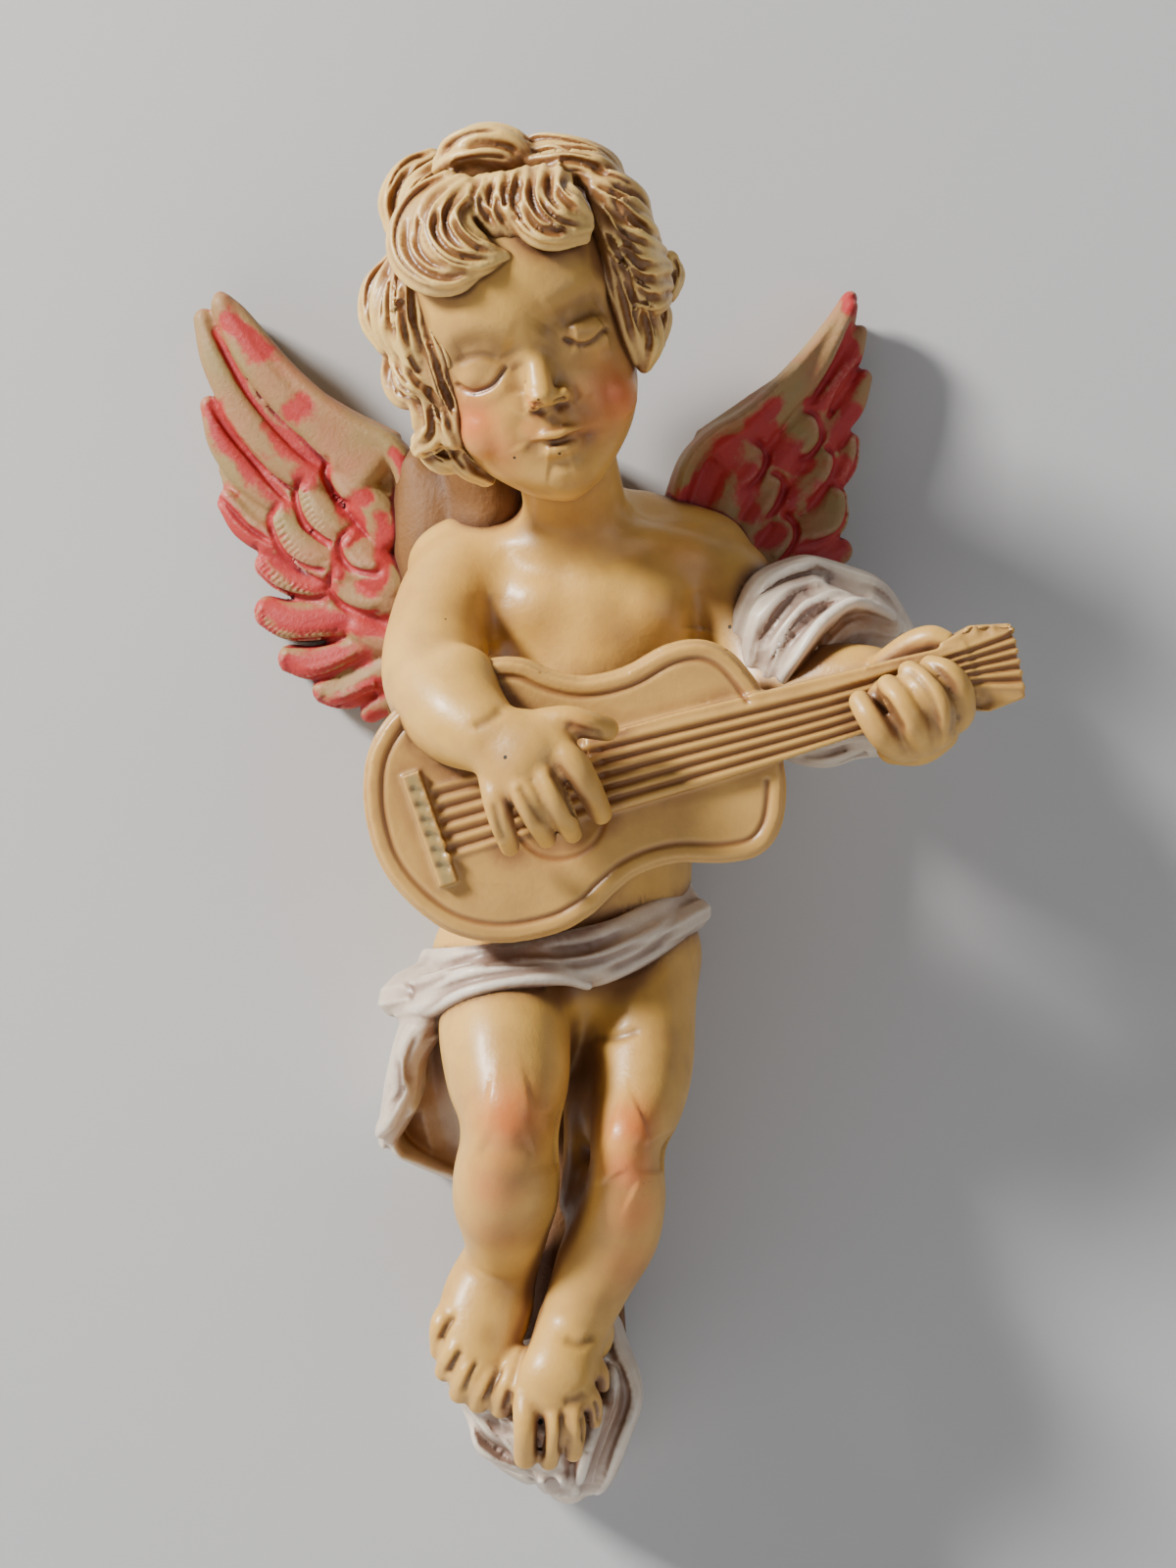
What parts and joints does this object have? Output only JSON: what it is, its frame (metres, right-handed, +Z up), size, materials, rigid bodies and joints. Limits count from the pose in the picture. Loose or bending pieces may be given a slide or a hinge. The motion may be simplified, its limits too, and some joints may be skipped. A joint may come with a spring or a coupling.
{
  "type": "wall plaque",
  "caption": "Wall-hung cherub in high relief, eyes closed, playing a small guitar, with spread wings and a draped cloth on a flat back.",
  "frame": {"origin": "on the flat back, which lies against the wall, between the shoulder blades and just beside the nail hole", "axes": "+Z up along the height of the figure, +Y into the wall, the front of the figure towards -Y, +X towards the viewer's right where the neck of the guitar points"},
  "size_m": [0.1389, 0.0669, 0.2306],
  "materials": {
    "painted_resin": "semi-gloss ivory resin painted by hand with brown antique wash, pink cheeks, red and olive wings and lilac-white cloth"
  },
  "bodies": {
    "root": {"cherub": "painted_resin"}
  },
  "joints": []
}
